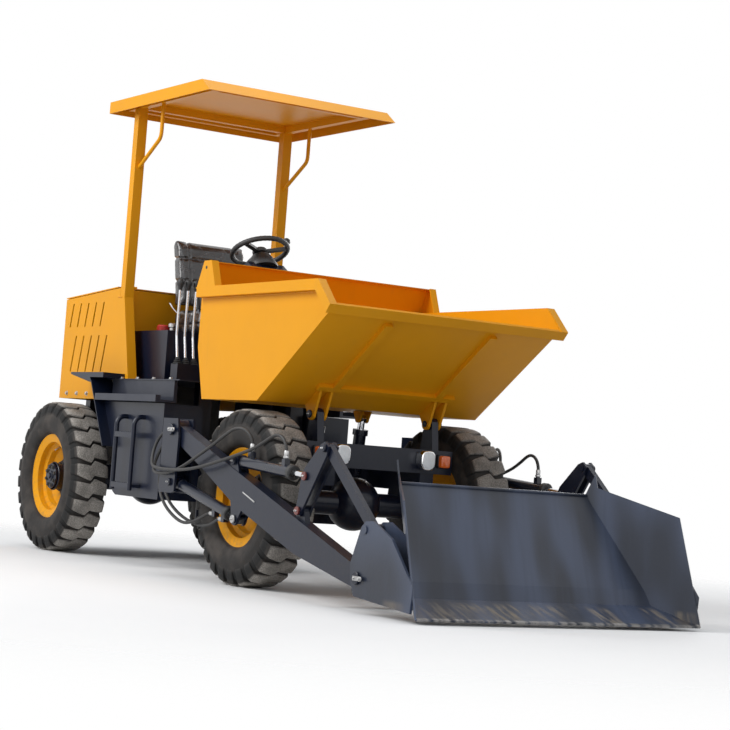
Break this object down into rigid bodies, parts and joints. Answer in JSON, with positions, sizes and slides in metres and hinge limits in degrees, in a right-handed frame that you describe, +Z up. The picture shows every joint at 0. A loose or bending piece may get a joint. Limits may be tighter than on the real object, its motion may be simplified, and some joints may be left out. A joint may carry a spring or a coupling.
{
  "type": "articulated site dumper",
  "caption": "Compact articulated site dumper with a front tipping skip, a front loader shovel on two arms, a rear engine and a canopy over the driver",
  "frame": {"origin": "on the ground, at the middle of the machine's length and width", "axes": "+X forward towards the shovel, +Y to the left, +Z up"},
  "size_m": [4.52, 1.6538, 2.6069],
  "materials": {
    "yellow_paint": "warm yellow gloss paint",
    "dark_paint": "navy black gloss paint",
    "shovel_paint": "blue grey paint, scraped on the floor",
    "engine_iron": "dark cast iron",
    "rod_chrome": "polished hard chrome",
    "tyre_rubber": "worn brown grey tread rubber",
    "hose_rubber": "black hydraulic hose, a little dusty",
    "seat_cover": "black cover under clear wrapping",
    "black_plastic": "black grained plastic",
    "lamp_glass": "clear fluted lens",
    "amber_lens": "amber lens",
    "red_lens": "red lens"
  },
  "bodies": {
    "rear_frame": {"rear_side_members": "dark_paint", "rear_cross_members": "dark_paint", "rear_fork": "dark_paint", "rear_axle": "dark_paint", "engine_block": "engine_iron", "gearbox": "dark_paint", "rear_drive_shafts": "dark_paint", "hood_shell": "yellow_paint", "canopy_roof": "yellow_paint", "canopy_frame": "yellow_paint", "oil_tank": "dark_paint", "seat_cushion": "seat_cover", "seat_back": "seat_cover", "steering_console": "dark_paint", "steering_wheel": "black_plastic", "control_levers": "rod_chrome", "deck": "dark_paint", "mudguards": "dark_paint", "side_tanks": "dark_paint", "step_ladders": "dark_paint", "tail_lamps": "red_lens"},
    "hood_lid": {"hood_lid": "yellow_paint"},
    "front_frame": {"front_side_members": "dark_paint", "front_fork": "dark_paint", "lamp_plate": "dark_paint", "skip_ram_mount": "dark_paint", "front_axle": "dark_paint", "front_drive_shaft": "dark_paint", "arm_brackets": "dark_paint", "headlamps": "lamp_glass", "turn_signals": "amber_lens", "tilt_rod_hoses": "hose_rubber", "tilt_base_hoses": "hose_rubber", "lift_hoses": "hose_rubber"},
    "skip": {"skip": "yellow_paint"},
    "skip_ram_barrels": {"skip_ram_barrels": "dark_paint"},
    "skip_ram_rods": {"skip_ram_rods": "rod_chrome"},
    "loader_arms": {"loader_arms": "dark_paint"},
    "shovel": {"shovel": "shovel_paint"},
    "tilt_levers": {"tilt_levers": "dark_paint"},
    "tilt_links": {"tilt_links": "dark_paint"},
    "lift_barrels": {"lift_barrels": "dark_paint"},
    "lift_rods": {"lift_rods": "rod_chrome"},
    "tilt_barrels": {"tilt_barrels": "dark_paint"},
    "tilt_rods": {"tilt_rods": "rod_chrome"},
    "steer_ram_barrel": {"steer_ram_barrel": "dark_paint"},
    "steer_ram_rod": {"steer_ram_rod": "rod_chrome"},
    "wheel_front_right": {"tyre_front_right": "tyre_rubber", "rim_front_right": "yellow_paint", "hub_front_right": "dark_paint"},
    "wheel_front_left": {"tyre_front_left": "tyre_rubber", "rim_front_left": "yellow_paint", "hub_front_left": "dark_paint"},
    "wheel_rear_right": {"tyre_rear_right": "tyre_rubber", "rim_rear_right": "yellow_paint", "hub_rear_right": "dark_paint"},
    "wheel_rear_left": {"tyre_rear_left": "tyre_rubber", "rim_rear_left": "yellow_paint", "hub_rear_left": "dark_paint"}
  },
  "joints": [
    {"name": "front_right_wheel", "type": "hinge", "parent": "front_frame", "child": "wheel_front_right", "pos_m": [0.49, -0.572, 0.432], "axis": [0, 1, 0], "continuous": true},
    {"name": "front_left_wheel", "type": "hinge", "parent": "front_frame", "child": "wheel_front_left", "pos_m": [0.49, 0.572, 0.432], "axis": [0, 1, 0], "continuous": true},
    {"name": "rear_right_wheel", "type": "hinge", "parent": "rear_frame", "child": "wheel_rear_right", "pos_m": [-1.81, -0.572, 0.432], "axis": [0, 1, 0], "continuous": true},
    {"name": "rear_left_wheel", "type": "hinge", "parent": "rear_frame", "child": "wheel_rear_left", "pos_m": [-1.81, 0.572, 0.432], "axis": [0, 1, 0], "continuous": true},
    {"name": "steer", "type": "hinge", "parent": "rear_frame", "child": "front_frame", "pos_m": [-0.36, 0, 0.45], "axis": [0, 0, 1], "range_deg": [-30, 30]},
    {"name": "hood_open", "type": "hinge", "parent": "rear_frame", "child": "hood_lid", "pos_m": [-1.398, 0, 1.545], "axis": [0, 1, 0], "range_deg": [0, 55]},
    {"name": "skip_tip", "type": "hinge", "parent": "front_frame", "child": "skip", "pos_m": [0.64, 0, 0.862], "axis": [0, -1, 0], "range_deg": [-60, 0]},
    {"name": "arms_lift", "type": "hinge", "parent": "front_frame", "child": "loader_arms", "pos_m": [-0.04, 0, 0.74], "axis": [0, -1, 0], "range_deg": [0, 80], "deforming": ["tilt_rod_hoses", "tilt_base_hoses", "lift_hoses"]},
    {"name": "shovel_tilt", "type": "hinge", "parent": "loader_arms", "child": "shovel", "pos_m": [1.8, 0, 0.15], "axis": [0, 1, 0], "range_deg": [-40, 45]},
    {"name": "skip_ram_swing", "type": "hinge", "parent": "front_frame", "child": "skip_ram_barrels", "pos_m": [0.26, 0, 0.42], "axis": [0, 1, 0], "range_deg": [-0.5, 10.9]},
    {"name": "skip_ram_stroke", "type": "slide", "parent": "skip_ram_barrels", "child": "skip_ram_rods", "axis": [0.1109, 0, 0.9938], "range_m": [-0.002, 0.3145]},
    {"name": "lift_swing", "type": "hinge", "parent": "front_frame", "child": "lift_barrels", "pos_m": [-0.02, 0, 0.475], "axis": [0, 1, 0], "range_deg": [-72.73, 0.5]},
    {"name": "lift_stroke", "type": "slide", "parent": "lift_barrels", "child": "lift_rods", "axis": [0.9767, 0, -0.2146], "range_m": [-0.002, 0.325]},
    {"name": "tilt_swing", "type": "hinge", "parent": "loader_arms", "child": "tilt_barrels", "pos_m": [0.603, 0, 0.607], "axis": [0, 1, 0], "range_deg": [-1.77, 1.93]},
    {"name": "tilt_stroke", "type": "slide", "parent": "tilt_barrels", "child": "tilt_rods", "axis": [0.998, 0, -0.0639], "range_m": [-0.06, 0.0673]},
    {"name": "levers_swing", "type": "hinge", "parent": "loader_arms", "child": "tilt_levers", "pos_m": [1.235, 0, 0.405], "axis": [0, 1, 0], "range_deg": [-21.8, 24.46]},
    {"name": "links_swing", "type": "hinge", "parent": "tilt_levers", "child": "tilt_links", "pos_m": [1.424, 0, 0.695], "axis": [0, 1, 0], "range_deg": [-31.26, 27.84]},
    {"name": "steer_ram_swing", "type": "hinge", "parent": "rear_frame", "child": "steer_ram_barrel", "pos_m": [-0.94, -0.18, 0.48], "axis": [0, 0, 1], "range_deg": [-5.83, 5.83]},
    {"name": "steer_ram_stroke", "type": "slide", "parent": "steer_ram_barrel", "child": "steer_ram_rod", "axis": [0.9988, -0.0499, 0], "range_m": [-0.1094, 0.1094]}
  ],
  "couplings": [
    {"joint": "skip_ram_swing", "follows": "skip_tip", "ratio": -0.17333},
    {"joint": "skip_ram_stroke", "follows": "skip_tip", "m_per_rad": -0.29838},
    {"joint": "lift_swing", "follows": "arms_lift", "ratio": -0.90282},
    {"joint": "lift_stroke", "follows": "arms_lift", "m_per_rad": 0.23132},
    {"joint": "tilt_swing", "follows": "shovel_tilt", "ratio": 0.03175},
    {"joint": "tilt_stroke", "follows": "shovel_tilt", "m_per_rad": 0.083118},
    {"joint": "levers_swing", "follows": "shovel_tilt", "ratio": 0.53255},
    {"joint": "links_swing", "follows": "shovel_tilt", "ratio": -0.68359},
    {"joint": "steer_ram_swing", "follows": "steer", "ratio": 0.17781},
    {"joint": "steer_ram_stroke", "follows": "steer", "m_per_rad": 0.20507}
  ]
}
